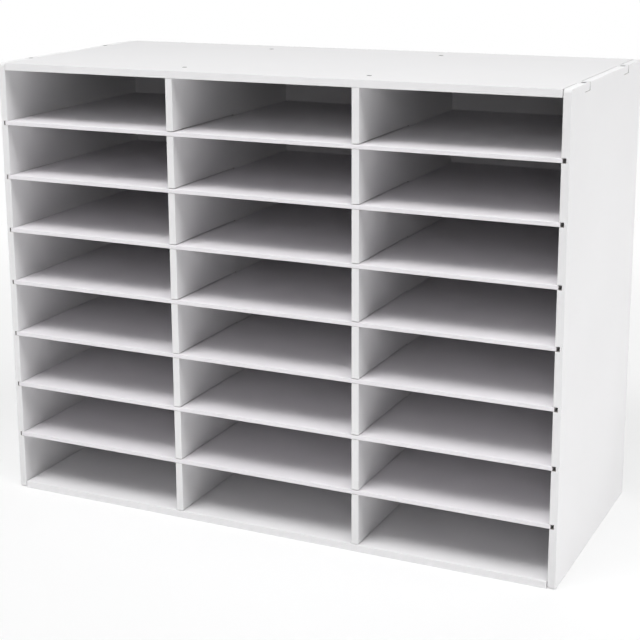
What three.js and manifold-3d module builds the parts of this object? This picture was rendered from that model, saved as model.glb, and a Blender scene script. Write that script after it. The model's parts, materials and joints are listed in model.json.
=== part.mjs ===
// Pigeonhole mail sorter.
// A case of flat white boards is divided into a grid of open-fronted pigeonholes.
// The full-width shelves are loose. They slide in from the front, cross the upright dividers in
// half-lap slots, and run with their ends in grooves cut across the side panels.
// The top panel lays its tabs into notches in the sides and is screwed down from above.
// Millimetres. +X is right as seen from the front, +Y goes to the back and +Z is up.
// The origin is the middle of the footprint, on the surface that the sorter stands on.

import * as THREE from "three";
import { mergeVertices } from "three/addons/utils/BufferGeometryUtils.js";
import Module from "manifold-3d";

const wasm = await Module();
wasm.setup();

// The grid, in clear sizes
const COLUMN_COUNT = 3;
const ROW_COUNT = 8;
const PIGEONHOLE_WIDTH = 228;
const PIGEONHOLE_HEIGHT = 63;
const PIGEONHOLE_DEPTH = 303;

// The boards: sides, top, bottom and dividers share one thickness
const CASE_BOARD = 9;
const SHELF_BOARD = 5;
const BACK_BOARD = 3;
const EDGE_EASE = 0.4;
const EASE_STEPS = 2;
const SIDE_CORNER = 4;
const CORNER_STEPS = 6;

// The joints between the boards
const GROOVE_DEPTH = 5.3;
const SHELF_ENTRY_LEFT = 3.3;
const SHELF_ENTRY_RIGHT = 1.3;
const LAP_SETBACK = 151;
const BACK_SETBACK = 4;
const TAB_LENGTH = 20;
const TAB_FRONT_SETBACK = 52;
const TAB_REAR_SETBACK = 65.5;
const TAB_RECESS = 0.3;

// Countersunk screws with a cross recess
const SCREW_LENGTH = 30;
const SCREW_RADIUS = 1.6;
const SCREW_POINT = 4;
const SCREW_HEAD_RADIUS = 3.2;
const SCREW_RIM = 0.4;
const SCREW_SINK = 0.2;
const SCREW_FRONT_SETBACK = 39;
const SCREW_REAR_SETBACK = 40;
const CROSS_SPAN = 3.6;
const CROSS_WIDTH = 0.9;
const CROSS_DEPTH = 1.5;
const SCREW_SIDES = 20;

// Wooden dowels between the bottom and the sides
const DOWEL_RADIUS = 2.5;
const DOWEL_CHAMFER = 0.8;
const DOWEL_REACH = 18;
const DOWEL_COVER = 3;
const DOWEL_SIDES = 16;

// Clearances, and how far a cutter reaches past the face that it opens
const SHADOW_GAP = 0.9;
const SEAT_GAP = 0.3;
const SLOT_GAP = 0.3;
const END_GAP = 0.9;
const LAP_GAP = 0.5;
const TAB_REAR_GAP = 1.6;
const PIN_GAP = 0.3;
const OVERCUT = 1;

// Sizes that follow from those above
const rowPitch = PIGEONHOLE_HEIGHT + SHELF_BOARD;
const columnPitch = PIGEONHOLE_WIDTH + CASE_BOARD;
const innerWidth = COLUMN_COUNT * columnPitch - CASE_BOARD;
const innerHeight = ROW_COUNT * rowPitch - SHELF_BOARD;
const caseWidth = innerWidth + 2 * CASE_BOARD;
const caseHeight = innerHeight + 2 * CASE_BOARD;
const caseDepth = PIGEONHOLE_DEPTH + BACK_BOARD + BACK_SETBACK;

// Places along the depth
const front = -caseDepth / 2;
const rear = caseDepth / 2;
const backPanelFront = front + PIGEONHOLE_DEPTH;
const backPanelRear = backPanelFront + BACK_BOARD;
const innerRear = backPanelFront - SEAT_GAP;
const lapLine = front + LAP_SETBACK;
const frontTab = { name: "front", start: front + TAB_FRONT_SETBACK };
const rearTab = { name: "rear", start: rear - TAB_REAR_SETBACK - TAB_LENGTH };
const tabs = [frontTab, rearTab];
const screwRows = [
  { name: "front", depth: front + SCREW_FRONT_SETBACK },
  { name: "rear", depth: rear - SCREW_REAR_SETBACK },
];

// Places across the width and up the height
const sides = [
  { name: "left", sign: -1 },
  { name: "right", sign: 1 },
];
const sideCentre = caseWidth / 2 - CASE_BOARD / 2;
const panelHalfWidth = innerWidth / 2 - END_GAP;
const backHalfWidth = innerWidth / 2 + GROOVE_DEPTH - SEAT_GAP;
const backBottom = CASE_BOARD - GROOVE_DEPTH + SEAT_GAP;
const backTop = caseHeight - backBottom;
const ceiling = caseHeight - CASE_BOARD;
const dividerBottom = CASE_BOARD + SHADOW_GAP;
const dividerHeight = innerHeight - SHADOW_GAP - SEAT_GAP;
const dividerCentres = [];
for (let column = 1; column < COLUMN_COUNT; column += 1) {
  dividerCentres.push(column * columnPitch - CASE_BOARD / 2 - innerWidth / 2);
}
const shelfUndersides = [];
for (let row = 1; row < ROW_COUNT; row += 1) {
  shelfUndersides.push(ceiling - row * rowPitch);
}

// How a piece is turned from the way it is drawn
const FLAT = new THREE.Euler(0, 0, 0);
const UPRIGHT_FRONT_TO_BACK = new THREE.Euler(Math.PI / 2, Math.PI / 2, 0);
const UPRIGHT_SIDE_TO_SIDE = new THREE.Euler(Math.PI / 2, 0, 0);
const HEAD_UP = new THREE.Euler(Math.PI / 2, 0, 0);
const HEAD_DOWN = new THREE.Euler(-Math.PI / 2, 0, 0);
const LYING_ACROSS = new THREE.Euler(0, 0, -Math.PI / 2);

// Finishes
function whiteBoard() {
  return new THREE.MeshStandardMaterial({ color: 0xe8e8e8, roughness: 0.45, metalness: 0 });
}

function blackSteel() {
  return new THREE.MeshStandardMaterial({ color: 0x323233, roughness: 0.58, metalness: 0 });
}

function paleWood() {
  return new THREE.MeshStandardMaterial({ color: 0xcfae7e, roughness: 0.8, metalness: 0 });
}

// Welds a closed geometry and hands it over as a solid that can be cut
function toSolid(geometry) {
  const bare = geometry.clone();
  bare.deleteAttribute("normal");
  bare.deleteAttribute("uv");
  const welded = mergeVertices(bare);
  const corners = welded.index.array;
  const triangles = [];
  for (let i = 0; i < corners.length; i += 3) {
    const [a, b, c] = corners.slice(i, i + 3);
    if (a !== b && b !== c && c !== a) {
      triangles.push(a, b, c);
    }
  }
  const mesh = new wasm.Mesh({
    numProp: 3,
    vertProperties: welded.attributes.position.array,
    triVerts: new Uint32Array(triangles),
  });
  return new wasm.Manifold(mesh);
}

function toGeometry(solid) {
  const mesh = solid.getMesh();
  const geometry = new THREE.BufferGeometry();
  geometry.setAttribute("position", new THREE.BufferAttribute(mesh.vertProperties, 3));
  geometry.setIndex(new THREE.BufferAttribute(mesh.triVerts, 1));
  geometry.computeVertexNormals();
  return geometry;
}

function cut(geometry, cutters) {
  let solid = toSolid(geometry);
  for (const cutter of cutters) {
    solid = solid.subtract(toSolid(cutter));
  }
  return toGeometry(solid);
}

// A flat board with softened arrises, drawn lying down with its underside at zero
function board(points, thickness) {
  const outline = new THREE.Shape(points.map(([x, y]) => new THREE.Vector2(x, y)));
  const geometry = new THREE.ExtrudeGeometry(outline, {
    depth: thickness - 2 * EDGE_EASE,
    bevelThickness: EDGE_EASE,
    bevelSize: EDGE_EASE,
    bevelOffset: -EDGE_EASE,
    bevelSegments: EASE_STEPS,
  });
  return geometry.translate(0, 0, EDGE_EASE);
}

// A quarter of a circle, turning the way that an outline is drawn
function roundedCorner(x, y, firstAngle) {
  const points = [];
  for (let step = 0; step <= CORNER_STEPS; step += 1) {
    const angle = firstAngle + (step / CORNER_STEPS) * (Math.PI / 2);
    points.push([x + SIDE_CORNER * Math.cos(angle), y + SIDE_CORNER * Math.sin(angle)]);
  }
  return points;
}

// A box between two corners, for cutting grooves and notches
function block(low, high) {
  const size = high.map((value, axis) => value - low[axis]);
  const middle = high.map((value, axis) => (value + low[axis]) / 2);
  return new THREE.BoxGeometry(...size).translate(...middle);
}

// A screw standing on its point with the flat of its head at height zero
// A gap makes it the hole for that screw, and a rise carries the hole out of the board
function screwForm(gap, rise) {
  const shank = SCREW_RADIUS + gap;
  const head = SCREW_HEAD_RADIUS + gap;
  const coneHeight = SCREW_HEAD_RADIUS - SCREW_RADIUS;
  const tip = -SCREW_LENGTH - gap;
  const profile = [
    new THREE.Vector2(0, tip),
    new THREE.Vector2(shank, tip + SCREW_POINT),
    new THREE.Vector2(shank, -SCREW_RIM - coneHeight),
    new THREE.Vector2(head, -SCREW_RIM),
    new THREE.Vector2(head, rise),
    new THREE.Vector2(0, rise),
  ];
  return new THREE.LatheGeometry(profile, SCREW_SIDES);
}

// The cross recess is sunk into the head
function screw() {
  const long = CROSS_SPAN / 2;
  const short = CROSS_WIDTH / 2;
  const bars = [
    block([-long, -CROSS_DEPTH, -short], [long, OVERCUT, short]),
    block([-short, -CROSS_DEPTH, -long], [short, OVERCUT, long]),
  ];
  return cut(screwForm(0, 0), bars);
}

function screwHole() {
  return screwForm(PIN_GAP, SCREW_SINK + OVERCUT);
}

// A dowel lies half in the bottom panel's end and half in a blind hole in the side
const dowelSideDepth = CASE_BOARD - DOWEL_COVER - PIN_GAP;
const dowelInnerEnd = panelHalfWidth - DOWEL_REACH + PIN_GAP;
const dowelOuterEnd = innerWidth / 2 + dowelSideDepth;
const dowelLength = dowelOuterEnd - dowelInnerEnd;
const dowelCentre = (dowelOuterEnd + dowelInnerEnd) / 2;

function dowel() {
  const end = dowelLength / 2;
  const profile = [
    new THREE.Vector2(0, -end),
    new THREE.Vector2(DOWEL_RADIUS - DOWEL_CHAMFER, -end),
    new THREE.Vector2(DOWEL_RADIUS, -end + DOWEL_CHAMFER),
    new THREE.Vector2(DOWEL_RADIUS, end - DOWEL_CHAMFER),
    new THREE.Vector2(DOWEL_RADIUS - DOWEL_CHAMFER, end),
    new THREE.Vector2(0, end),
  ];
  return new THREE.LatheGeometry(profile, DOWEL_SIDES);
}

// The hole for a dowel, upright and centred, a little longer and wider than the dowel
function dowelHole() {
  const radius = DOWEL_RADIUS + PIN_GAP;
  return new THREE.CylinderGeometry(radius, radius, dowelLength + 2 * PIN_GAP, DOWEL_SIDES);
}

// A side panel is drawn with its depth along x, its height along y and its thickness along z
// Its grooves open on the inner face, which faces the other side panel
function sidePanel(sign) {
  const outline = [
    ...roundedCorner(front + SIDE_CORNER, SIDE_CORNER, Math.PI),
    ...roundedCorner(rear - SIDE_CORNER, SIDE_CORNER, 1.5 * Math.PI),
    ...roundedCorner(rear - SIDE_CORNER, caseHeight - SIDE_CORNER, 0),
    ...roundedCorner(front + SIDE_CORNER, caseHeight - SIDE_CORNER, 0.5 * Math.PI),
  ];

  const innerFace = sign > 0 ? 0 : CASE_BOARD;
  const grooveLow = sign > 0 ? -OVERCUT : CASE_BOARD - GROOVE_DEPTH;
  const grooveHigh = sign > 0 ? GROOVE_DEPTH : CASE_BOARD + OVERCUT;
  const cutters = [];
  for (const underside of shelfUndersides) {
    const grooveBottom = underside - SEAT_GAP;
    const grooveTop = underside + SHELF_BOARD + SEAT_GAP;
    cutters.push(block(
      [front - OVERCUT, grooveBottom, grooveLow],
      [rear + OVERCUT, grooveTop, grooveHigh],
    ));
  }
  cutters.push(block(
    [backPanelFront - SLOT_GAP, backBottom - SEAT_GAP, grooveLow],
    [backPanelRear + SLOT_GAP, backTop + SEAT_GAP, grooveHigh],
  ));
  for (const tab of tabs) {
    const middle = tab.start + TAB_LENGTH / 2;
    const notchEnd = tab.start + TAB_LENGTH + TAB_REAR_GAP;
    cutters.push(block(
      [tab.start - SEAT_GAP, ceiling - SEAT_GAP, -OVERCUT],
      [notchEnd, caseHeight + OVERCUT, CASE_BOARD + OVERCUT],
    ));
    cutters.push(screwHole().translate(middle, caseHeight - SCREW_SINK, CASE_BOARD / 2));
    const holeCentre = innerFace + sign * (dowelCentre - innerWidth / 2);
    cutters.push(dowelHole().rotateX(Math.PI / 2).translate(middle, CASE_BOARD / 2, holeCentre));
  }
  return cut(board(outline, CASE_BOARD), cutters);
}

// The back panel's edge sits in a groove that runs the whole width of the top and the bottom
function backGroove(low, high) {
  return block(
    [-panelHalfWidth - OVERCUT, backPanelFront - SLOT_GAP, low],
    [panelHalfWidth + OVERCUT, backPanelRear + SLOT_GAP, high],
  );
}

// The top panel is drawn as seen from above, with its tabs in its outline
function topPanel() {
  const tabEnd = caseWidth / 2 - TAB_RECESS;
  const outline = [[-panelHalfWidth, front], [panelHalfWidth, front]];
  for (const tab of tabs) {
    const tabStop = tab.start + TAB_LENGTH;
    outline.push([panelHalfWidth, tab.start], [tabEnd, tab.start]);
    outline.push([tabEnd, tabStop], [panelHalfWidth, tabStop]);
  }
  outline.push([panelHalfWidth, rear], [-panelHalfWidth, rear]);
  for (const tab of [rearTab, frontTab]) {
    const tabStop = tab.start + TAB_LENGTH;
    outline.push([-panelHalfWidth, tabStop], [-tabEnd, tabStop]);
    outline.push([-tabEnd, tab.start], [-panelHalfWidth, tab.start]);
  }

  const headHeight = CASE_BOARD - SCREW_SINK;
  const cutters = [backGroove(-OVERCUT, GROOVE_DEPTH)];
  for (const tab of tabs) {
    for (const side of sides) {
      const hole = screwHole().rotateX(Math.PI / 2);
      cutters.push(hole.translate(side.sign * sideCentre, tab.start + TAB_LENGTH / 2, headHeight));
    }
  }
  for (const row of screwRows) {
    for (const centre of dividerCentres) {
      cutters.push(screwHole().rotateX(Math.PI / 2).translate(centre, row.depth, headHeight));
    }
  }
  return cut(board(outline, CASE_BOARD), cutters);
}

// The bottom panel is drawn as seen from above, and its screws come up from below
function bottomPanel() {
  const outline = [
    [-panelHalfWidth, front],
    [panelHalfWidth, front],
    [panelHalfWidth, rear],
    [-panelHalfWidth, rear],
  ];
  const cutters = [backGroove(CASE_BOARD - GROOVE_DEPTH, CASE_BOARD + OVERCUT)];
  for (const row of screwRows) {
    for (const centre of dividerCentres) {
      cutters.push(screwHole().rotateX(-Math.PI / 2).translate(centre, row.depth, SCREW_SINK));
    }
  }
  for (const tab of tabs) {
    const middle = tab.start + TAB_LENGTH / 2;
    for (const side of sides) {
      const hole = dowelHole().rotateZ(Math.PI / 2);
      cutters.push(hole.translate(side.sign * dowelCentre, middle, CASE_BOARD / 2));
    }
  }
  return cut(board(outline, CASE_BOARD), cutters);
}

// A divider is drawn with its depth along x and its height along y, from its own lower end
// Each slot takes the uncut front half of one shelf
function divider() {
  const outline = [[front, 0], [innerRear, 0], [innerRear, dividerHeight], [front, dividerHeight]];
  const slotEnd = lapLine + LAP_GAP;
  for (const underside of shelfUndersides) {
    const slotTop = underside + SHELF_BOARD + SHADOW_GAP - dividerBottom;
    const slotBottom = underside - SEAT_GAP - dividerBottom;
    outline.push([front, slotTop], [slotEnd, slotTop]);
    outline.push([slotEnd, slotBottom], [front, slotBottom]);
  }
  const upperHead = caseHeight - SCREW_SINK - dividerBottom;
  const lowerHead = SCREW_SINK - dividerBottom;
  const cutters = [];
  for (const row of screwRows) {
    cutters.push(screwHole().translate(row.depth, upperHead, CASE_BOARD / 2));
    cutters.push(screwHole().rotateX(Math.PI).translate(row.depth, lowerHead, CASE_BOARD / 2));
  }
  return cut(board(outline, CASE_BOARD), cutters);
}

// A shelf is drawn as seen from above, with a slot open to the rear for each divider
// It reaches further into the left groove than into the right one
function shelf() {
  const leftEnd = -innerWidth / 2 - SHELF_ENTRY_LEFT;
  const rightEnd = innerWidth / 2 + SHELF_ENTRY_RIGHT;
  const halfSlot = CASE_BOARD / 2 + SLOT_GAP;
  const outline = [
    [leftEnd, innerRear],
    [leftEnd, front],
    [rightEnd, front],
    [rightEnd, innerRear],
  ];
  for (const centre of dividerCentres.toReversed()) {
    outline.push([centre + halfSlot, innerRear], [centre + halfSlot, lapLine]);
    outline.push([centre - halfSlot, lapLine], [centre - halfSlot, innerRear]);
  }
  return board(outline, SHELF_BOARD);
}

// The back panel is a plain sheet, drawn as seen from the front
function backPanel() {
  const outline = [
    [-backHalfWidth, backBottom],
    [backHalfWidth, backBottom],
    [backHalfWidth, backTop],
    [-backHalfWidth, backTop],
  ];
  return board(outline, BACK_BOARD);
}

function addPiece(group, name, geometry, material, turn, place) {
  const piece = new THREE.Mesh(geometry, material);
  piece.name = name;
  piece.rotation.copy(turn);
  piece.position.set(...place);
  group.add(piece);
}

// The fixed boards of the case
const carcass = new THREE.Group();
for (const side of sides) {
  const name = `${side.name}_side_panel`;
  const place = [side.sign * sideCentre - CASE_BOARD / 2, 0, 0];
  addPiece(carcass, name, sidePanel(side.sign), whiteBoard(), UPRIGHT_FRONT_TO_BACK, place);
}
addPiece(carcass, "top_panel", topPanel(), whiteBoard(), FLAT, [0, 0, ceiling]);
addPiece(carcass, "bottom_panel", bottomPanel(), whiteBoard(), FLAT, [0, 0, 0]);
const backPlace = [0, backPanelRear, 0];
addPiece(carcass, "back_panel", backPanel(), whiteBoard(), UPRIGHT_SIDE_TO_SIDE, backPlace);
dividerCentres.forEach((centre, index) => {
  const place = [centre - CASE_BOARD / 2, 0, dividerBottom];
  addPiece(carcass, `divider_${index + 1}`, divider(), whiteBoard(), UPRIGHT_FRONT_TO_BACK, place);
});

// The loose shelves, counted from the top
const shelves = new THREE.Group();
shelfUndersides.forEach((underside, index) => {
  addPiece(shelves, `shelf_${index + 1}`, shelf(), whiteBoard(), FLAT, [0, 0, underside]);
});

// Screws down through the tabs into the sides, and dowels from the bottom into the sides
const fasteners = new THREE.Group();
for (const side of sides) {
  for (const tab of tabs) {
    const middle = tab.start + TAB_LENGTH / 2;
    const ending = `${side.name}_${tab.name}`;
    const screwPlace = [side.sign * sideCentre, middle, caseHeight - SCREW_SINK];
    const dowelPlace = [side.sign * dowelCentre, middle, CASE_BOARD / 2];
    addPiece(fasteners, `tab_screw_${ending}`, screw(), blackSteel(), HEAD_UP, screwPlace);
    addPiece(fasteners, `dowel_${ending}`, dowel(), paleWood(), LYING_ACROSS, dowelPlace);
  }
}

// Screws through the top and the bottom into the ends of the dividers
dividerCentres.forEach((centre, index) => {
  for (const row of screwRows) {
    const ending = `divider_${index + 1}_${row.name}`;
    const topPlace = [centre, row.depth, caseHeight - SCREW_SINK];
    const bottomPlace = [centre, row.depth, SCREW_SINK];
    addPiece(fasteners, `top_screw_${ending}`, screw(), blackSteel(), HEAD_UP, topPlace);
    addPiece(fasteners, `bottom_screw_${ending}`, screw(), blackSteel(), HEAD_DOWN, bottomPlace);
  }
});

const sorter = new THREE.Group();
sorter.add(carcass, shelves, fasteners);

export default sorter;
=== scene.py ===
import json
import math

import bpy
from mathutils import Matrix, Vector


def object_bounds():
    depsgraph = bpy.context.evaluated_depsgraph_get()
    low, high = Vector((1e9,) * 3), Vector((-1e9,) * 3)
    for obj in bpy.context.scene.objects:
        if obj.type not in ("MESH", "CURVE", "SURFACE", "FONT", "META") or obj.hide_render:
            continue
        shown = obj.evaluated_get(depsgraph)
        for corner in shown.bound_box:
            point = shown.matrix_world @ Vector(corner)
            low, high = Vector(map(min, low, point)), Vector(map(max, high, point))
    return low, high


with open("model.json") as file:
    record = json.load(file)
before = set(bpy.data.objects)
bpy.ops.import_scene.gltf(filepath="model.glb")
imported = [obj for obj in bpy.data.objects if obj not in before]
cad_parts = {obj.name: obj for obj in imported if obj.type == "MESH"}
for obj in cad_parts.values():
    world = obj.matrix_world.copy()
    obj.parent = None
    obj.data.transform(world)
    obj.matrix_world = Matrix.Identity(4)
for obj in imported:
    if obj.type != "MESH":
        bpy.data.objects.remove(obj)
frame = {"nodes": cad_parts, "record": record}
cad_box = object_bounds()
scene = bpy.context.scene
scene.view_settings.view_transform = "Standard"

# Lengths are in metres and angles in radians

# The plane of all the front edges, and how deep the softened arrises of a board reach
FRONT = cad_box[0].y
EASE = 0.00045

# How far the foil reaches in from the upper and lower ends of a side, and from the ends of the top's tabs
SIDE_END = 0.005
TAB_END = 0.011

# Where the band on a front edge ends and its joint begins, from the front, and the painted highlight, from
# the upper edge
BAND_END = (0.0004, 0.0006)
JOINT_START = (0.0002, 0.0004)
PAINTED_HIGHLIGHT_END = (0.0004, 0.0002)

# Tones of the boards
WHITE = (1.0, 1.0, 1.0, 1.0)
BOARD_TONE = (0.82, 0.815, 0.822)
SHELF_TONE = (0.822, 0.804, 0.827)
# The bottom panel is tinted like the shelves and painted a little lighter than the other boards, as painted
# light on the bottom row's floor
BOTTOM_PAINTED_LIGHT_TONE = (0.85, 0.843, 0.853)
BACK_TONE = (0.8, 0.79, 0.802)
# The painted highlight along the sides' upper edge, drawn as a whiter tape
PAINTED_HIGHLIGHT_TONE = (0.94, 0.94, 0.945)
# Bare core on the cut faces, a dark grey that is also painted shade in the slots, grooves and seams
CORE_AND_SHADE_DARK = (0.31, 0.295, 0.28)
CORE_AND_SHADE_LIGHT = (0.46, 0.435, 0.41)

# The darkest and the lightest foil and paint, as a share of the board's tone
FOIL_DARK = 0.975
FOIL_LIGHT = 1.01
PAINT_DARK = 0.965

# How far the drift, the band and its joint take the foil from dark to light
DRIFT_SHARE = 0.7
BAND_SHARE = 0.3
JOINT_SHARE = 0.9

# How strong the painted highlight on the sides' upper edge is, and the gloss of the boards
PAINTED_HIGHLIGHT_SHARE = 0.8
BOARD_ROUGHNESS = 0.46
SHELF_ROUGHNESS = 0.48
CORE_ROUGHNESS = 0.85
ROUGHNESS_DRIFT = 0.04
BOARD_SPECULAR = 0.15
STEEL_SPECULAR = 0.08

# The span that most of a noise lies in
NOISE_LOW = 0.3
NOISE_HIGH = 0.7

# The floor turns white for the camera over one stretch from its middle, and thins out over another
FLOOR_RADIUS = 6.0
FLOOR_CORNERS = 96
FLOOR_DARK = (0.9, 0.9, 0.9)
FLOOR_LIGHT = (0.92, 0.92, 0.92)
FLOOR_PALENESS = 0.6
FLOOR_WHITE = (0.75, 1.8)
FLOOR_FADE = (2.4, 5.7)

# The even light from all round, and the point that most lamps face
AMBIENT = 0.02
MIDDLE = (0.0, 0.0, 0.28)

# The photograph's camera, with its lens and sensor in millimetres
CAMERA_PLACE = (0.763955, -1.648275, 0.750815)
CAMERA_YAW = 0.45874
CAMERA_PITCH = 0.23003
CAMERA_ROLL = -0.01063
CAMERA_LENS = 83.656
CAMERA_SENSOR = 36.0
CAMERA_SHIFT = (0.06, -0.115)


class Nodes:
    """Builds one node tree from short calls."""

    def __init__(self, tree):
        self.tree = tree
        self.tree.nodes.clear()

    def add(self, kind, values=(), **settings):
        node = self.tree.nodes.new(kind)
        for name, value in settings.items():
            setattr(node, name, value)
        for name, value in dict(values).items():
            self.feed(node.inputs[name], value)
        return node

    def feed(self, socket, value):
        if isinstance(value, bpy.types.NodeSocket):
            self.tree.links.new(value, socket)
        else:
            socket.default_value = value

    def math(self, operation, first, second):
        return self.add("ShaderNodeMath", {0: first, 1: second}, operation=operation).outputs[0]

    def place(self):
        return self.add("ShaderNodeTexCoord").outputs["Object"]

    def noise(self, place, scale, detail=2.0, roughness=0.5):
        values = {"Vector": place, "Scale": scale, "Detail": detail, "Roughness": roughness}
        return self.add("ShaderNodeTexNoise", values).outputs["Fac"]

    def stretch(self, place, scale):
        return self.add("ShaderNodeMapping", {"Vector": place, "Scale": scale}).outputs["Vector"]

    def ramp(self, value, low, high, start, end):
        values = {"Value": value, "From Min": low, "From Max": high, "To Min": start, "To Max": end}
        return self.add("ShaderNodeMapRange", values, interpolation_type="SMOOTHSTEP").outputs[0]

    def spread(self, noise, start, end):
        """Takes a noise over its usual span from one value to another."""
        return self.ramp(noise, NOISE_LOW, NOISE_HIGH, start, end)

    def blend(self, factor, first, second):
        node = self.add("ShaderNodeMix", data_type="RGBA")
        self.feed(node.inputs["Factor"], factor)
        self.feed(node.inputs["A"], first)
        self.feed(node.inputs["B"], second)
        return node.outputs["Result"]

    def tint(self, factor, dark, light):
        return self.blend(factor, (*dark, 1.0), (*light, 1.0))

    def vector(self, operation, first, second=(0.0, 0.0, 0.0)):
        return self.add("ShaderNodeVectorMath", {0: first, 1: second}, operation=operation).outputs[0]

    def within(self, place, low, high):
        """One inside the box between two corners, and zero outside it."""
        offset = self.vector("SUBTRACT", place, (low + high) / 2)
        past = self.vector("SUBTRACT", self.vector("ABSOLUTE", offset), (high - low) / 2)
        axes = self.add("ShaderNodeSeparateXYZ", {"Vector": past}).outputs
        furthest = self.math("MAXIMUM", axes["X"], self.math("MAXIMUM", axes["Y"], axes["Z"]))
        return self.math("LESS_THAN", furthest, 0.0)

    def bump(self, height, distance, strength):
        values = {"Height": height, "Distance": distance, "Strength": strength}
        return self.add("ShaderNodeBump", values).outputs["Normal"]

    def principled(self, **values):
        shader = self.add("ShaderNodeBsdfPrincipled")
        for name, value in values.items():
            self.feed(shader.inputs[name.replace("_", " ")], value)
        return shader.outputs[0]

    def light(self, kind, strength):
        return self.add(kind, {"Color": WHITE, "Strength": strength}).outputs[0]

    def mix(self, share, first, second):
        return self.add("ShaderNodeMixShader", {0: share, 1: first, 2: second}).outputs[0]

    def finish(self, surface):
        self.add("ShaderNodeOutputMaterial", {"Surface": surface})


def box_of(node):
    corners = [Vector(corner) for corner in node.bound_box]
    low = Vector(min(corner[axis] for corner in corners) for axis in range(3))
    high = Vector(max(corner[axis] for corner in corners) for axis in range(3))
    return low, high


def material(name):
    made = bpy.data.materials.new(name)
    made.use_nodes = True
    return made, Nodes(made.node_tree)


def foil_board(node, tone, roughness, margin=(EASE, EASE, EASE), painted_highlight=0.0):
    """White foil on fibreboard, with a band along the front edge and a dark bare core, which is partly
    painted shade, where the board is cut.

    A surface further in than the margin from every side of the board's box is a cut one.
    The last argument paints the upper edge whiter by that share, a painted highlight drawn like a tape.
    """
    made, nodes = material(node.name + "_look")
    place = nodes.place()
    drift = nodes.noise(place, scale=6.0, detail=3.0)
    pearl = nodes.noise(place, scale=2200.0, detail=1.0)
    fibre = nodes.noise(place, scale=700.0, roughness=0.65)
    axes = nodes.add("ShaderNodeSeparateXYZ", {"Vector": place}).outputs
    low, high = box_of(node)

    # The band is a little lighter than the foil, and its joint is a fine dark line
    band = nodes.ramp(axes["Y"], FRONT + BAND_END[0], FRONT + BAND_END[1], 1.0, 0.0)
    rear_of_band = nodes.ramp(axes["Y"], FRONT + JOINT_START[0], FRONT + JOINT_START[1], 0.0, 1.0)
    joint = nodes.math("MULTIPLY", band, rear_of_band)
    light = nodes.spread(drift, 0.0, DRIFT_SHARE)
    light = nodes.math("ADD", light, nodes.math("MULTIPLY", band, BAND_SHARE))
    light = nodes.math("SUBTRACT", light, nodes.math("MULTIPLY", joint, JOINT_SHARE))
    dark_tone = [value * FOIL_DARK for value in tone]
    light_tone = [value * FOIL_LIGHT for value in tone]
    foil = nodes.tint(light, dark_tone, light_tone)
    # Painted highlight: the upper edge of a side is painted whiter, like a tape
    highlight_mask = nodes.ramp(axes["Z"], high.z - PAINTED_HIGHLIGHT_END[0], high.z - PAINTED_HIGHLIGHT_END[1], 0.0, painted_highlight)
    foil = nodes.blend(highlight_mask, foil, (*PAINTED_HIGHLIGHT_TONE, 1.0))

    # The cut faces take a dark grey bare core, partly real core and partly painted shade in the slots,
    # grooves and seams
    cut = nodes.within(place, low + Vector(margin), high - Vector(margin))
    core_and_shade = nodes.tint(fibre, CORE_AND_SHADE_DARK, CORE_AND_SHADE_LIGHT)
    gloss = nodes.spread(drift, roughness - ROUGHNESS_DRIFT, roughness + ROUGHNESS_DRIFT)
    surface = nodes.principled(
        Base_Color=nodes.blend(cut, foil, core_and_shade),
        Roughness=nodes.math("MAXIMUM", gloss, nodes.math("MULTIPLY", cut, CORE_ROUGHNESS)),
        Specular_IOR_Level=BOARD_SPECULAR,
        Normal=nodes.bump(pearl, distance=0.00002, strength=0.35),
    )
    nodes.finish(surface)
    return made


def painted_hardboard(name, tone):
    """Matt white paint over hardboard, with the faint upright fibres of the board."""
    made, nodes = material(name)
    place = nodes.place()
    drift = nodes.noise(place, scale=9.0, detail=4.0)
    upright = nodes.stretch(place, (1.0, 1.0, 0.35))
    fibre = nodes.noise(upright, scale=900.0, detail=3.0, roughness=0.6)
    dark_tone = [value * PAINT_DARK for value in tone]
    surface = nodes.principled(
        Base_Color=nodes.tint(nodes.spread(drift, 0.0, 1.0), dark_tone, tone),
        Roughness=nodes.spread(fibre, 0.58, 0.72),
        Specular_IOR_Level=BOARD_SPECULAR,
        Normal=nodes.bump(fibre, distance=0.00005, strength=0.4),
    )
    nodes.finish(surface)
    return made


def black_steel(name):
    """A dull black coat on steel, worn a little unevenly."""
    made, nodes = material(name)
    place = nodes.place()
    wear = nodes.noise(place, scale=900.0, detail=3.0)
    fine = nodes.noise(place, scale=6000.0)
    surface = nodes.principled(
        Base_Color=nodes.tint(wear, dark=(0.02, 0.02, 0.021), light=(0.045, 0.044, 0.045)),
        Roughness=nodes.spread(wear, 0.5, 0.65),
        Specular_IOR_Level=STEEL_SPECULAR,
        Normal=nodes.bump(fine, distance=0.00001, strength=0.3),
    )
    nodes.finish(surface)
    return made


def dowel_wood(name):
    """Bare hardwood with its grain along the dowel."""
    made, nodes = material(name)
    along = nodes.stretch(nodes.place(), (60.0, 900.0, 900.0))
    grain = nodes.noise(along, scale=1.0, detail=4.0, roughness=0.6)
    surface = nodes.principled(
        Base_Color=nodes.tint(grain, dark=(0.52, 0.36, 0.2), light=(0.76, 0.6, 0.4)),
        Roughness=nodes.spread(grain, 0.6, 0.75),
        Normal=nodes.bump(grain, distance=0.00004, strength=0.5),
    )
    nodes.finish(surface)
    return made


finishes = {
    "white_back": painted_hardboard("white_back_look", BACK_TONE),
    "screw_steel": black_steel("screw_steel_look"),
    "dowel_wood": dowel_wood("dowel_wood_look"),
}


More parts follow.
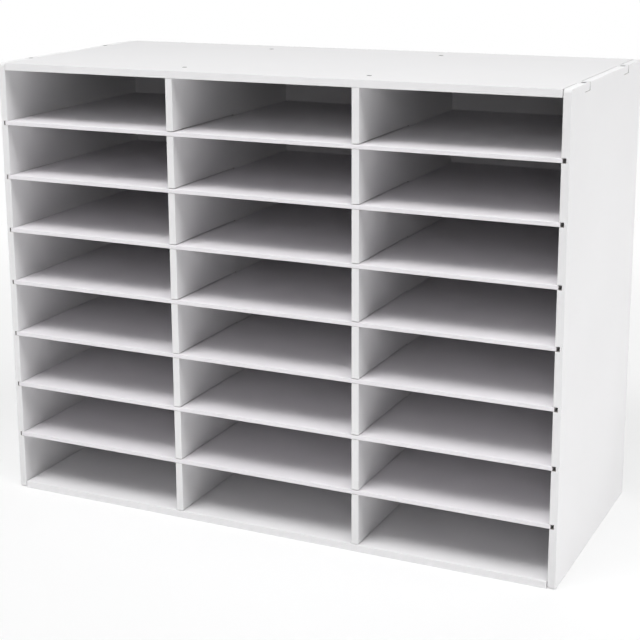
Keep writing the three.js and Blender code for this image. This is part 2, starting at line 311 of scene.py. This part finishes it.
def finish_of(node, slot):
    """Each board has a finish of its own, since its cut faces lie in its own place."""
    if slot == "white_shelf":
        return foil_board(node, SHELF_TONE, SHELF_ROUGHNESS)
    # The sides carry the painted highlight along their upper edge
    if node.name.endswith("side_panel"):
        return foil_board(node, BOARD_TONE, BOARD_ROUGHNESS, (EASE, EASE, SIDE_END), PAINTED_HIGHLIGHT_SHARE)
    if node.name == "top_panel":
        return foil_board(node, BOARD_TONE, BOARD_ROUGHNESS, (TAB_END, EASE, EASE))
    # The bottom panel's lighter tone is painted light on the bottom row's floor
    if node.name == "bottom_panel":
        return foil_board(node, BOTTOM_PAINTED_LIGHT_TONE, BOARD_ROUGHNESS)
    if slot == "white_board":
        return foil_board(node, BOARD_TONE, BOARD_ROUGHNESS)
    return finishes[slot]


for part in frame["record"]["subparts"]:
    node = frame["nodes"][part["node"]]
    node.data.materials.clear()
    node.data.materials.append(finish_of(node, part["material_slot"]))


def make_floor():
    """A round pale floor that keeps a light shadow and fades into the background at its rim."""
    bpy.ops.mesh.primitive_circle_add(vertices=FLOOR_CORNERS, radius=FLOOR_RADIUS, fill_type="NGON")
    floor = bpy.context.object
    floor.name = "floor"
    made, nodes = material("floor_look")
    place = nodes.place()
    span = nodes.add("ShaderNodeVectorMath", {0: place}, operation="LENGTH").outputs["Value"]
    cloud = nodes.noise(place, scale=3.0)
    pale = nodes.tint(cloud, FLOOR_DARK, FLOOR_LIGHT)
    ground = nodes.add("ShaderNodeBsdfDiffuse", {"Color": pale}).outputs[0]
    glow = nodes.light("ShaderNodeEmission", 1.0)
    path = nodes.add("ShaderNodeLightPath").outputs
    shown = nodes.math("MAXIMUM", path["Is Camera Ray"], path["Is Glossy Ray"])
    whiteness = nodes.ramp(span, *FLOOR_WHITE, FLOOR_PALENESS, 1.0)
    ground = nodes.mix(nodes.math("MULTIPLY", shown, whiteness), ground, glow)
    clear = nodes.add("ShaderNodeBsdfTransparent").outputs[0]
    fade = nodes.ramp(span, *FLOOR_FADE, 0.0, 1.0)
    nodes.finish(nodes.mix(fade, ground, clear))
    floor.data.materials.append(made)


def make_world():
    """White behind everything, and a low even light from all round."""
    world = bpy.data.worlds.new("studio")
    world.use_nodes = True
    scene.world = world
    nodes = Nodes(world.node_tree)
    path = nodes.add("ShaderNodeLightPath").outputs
    shown = nodes.math("MAXIMUM", path["Is Camera Ray"], path["Is Glossy Ray"])
    shown = nodes.math("MAXIMUM", shown, path["Is Transmission Ray"])
    lit = nodes.light("ShaderNodeBackground", AMBIENT)
    white = nodes.light("ShaderNodeBackground", 1.0)
    nodes.add("ShaderNodeOutputWorld", {"Surface": nodes.mix(shown, lit, white)})


def make_lamp(name, place, size, level, target=MIDDLE):
    """A soft lamp, wide and high. The level is the light it throws on a face turned to it at the target."""
    lamp = bpy.data.lights.new(name, "AREA")
    lamp.shape = "RECTANGLE"
    lamp.size, lamp.size_y = size
    aim = Vector(target) - Vector(place)
    lamp.energy = level * math.pi * math.pi * aim.length_squared
    holder = bpy.data.objects.new(name, lamp)
    holder.location = place
    holder.rotation_mode = "QUATERNION"
    holder.rotation_quaternion = aim.to_track_quat("-Z", "Y")
    holder.visible_camera = False
    holder.visible_glossy = False
    scene.collection.objects.link(holder)


def make_camera():
    turn = Vector((math.cos(CAMERA_YAW), math.sin(CAMERA_YAW), 0.0))
    level = math.cos(CAMERA_PITCH)
    ahead = Vector((-turn.y * level, turn.x * level, -math.sin(CAMERA_PITCH)))
    up = turn.cross(ahead)
    right = turn * math.cos(CAMERA_ROLL) + up * math.sin(CAMERA_ROLL)
    up = right.cross(ahead)
    rows = Matrix((right, up, -ahead)).transposed()
    camera = bpy.data.cameras.new("camera")
    camera.sensor_width = CAMERA_SENSOR
    camera.lens = CAMERA_LENS
    camera.shift_x, camera.shift_y = CAMERA_SHIFT
    holder = bpy.data.objects.new("camera", camera)
    holder.matrix_world = Matrix.Translation(CAMERA_PLACE) @ rows.to_4x4()
    scene.collection.objects.link(holder)
    scene.camera = holder


make_camera()
make_floor()
make_world()

# Soft light from above, with less from the front and up from the ground
make_lamp("key_lamp", place=(-0.6, -1.7, 3.2), size=(2.6, 0.7), level=0.486)
make_lamp("upper_lamp", place=(-1.0, -2.1, 3.0), size=(2.0, 1.0), level=0.128)
make_lamp("high_lamp", place=(1.2, -0.9, 3.3), size=(1.2, 0.8), level=0.358)
make_lamp("side_lamp", place=(2.3, -0.85, 2.6), size=(1.2, 0.7), level=0.106)
make_lamp("front_lamp", place=(1.2, -2.8, 0.9), size=(1.2, 1.0), level=0.055)
make_lamp("ground_lamp", place=(0.2, -0.5, 0.02), size=(1.2, 0.5), level=0.059, target=(0.2, -0.5, 1.0))

# One lamp for each of the outer sides and the back
make_lamp("right_lamp", place=(1.5, 0.1, 0.25), size=(0.5, 0.5), level=0.415, target=(0.36, 0.0, 0.15))
make_lamp("left_lamp", place=(-2.4, -0.2, 0.32), size=(1.6, 0.6), level=0.36)
make_lamp("rear_lamp", place=(0.0, 2.4, 0.3), size=(1.8, 0.55), level=0.5)
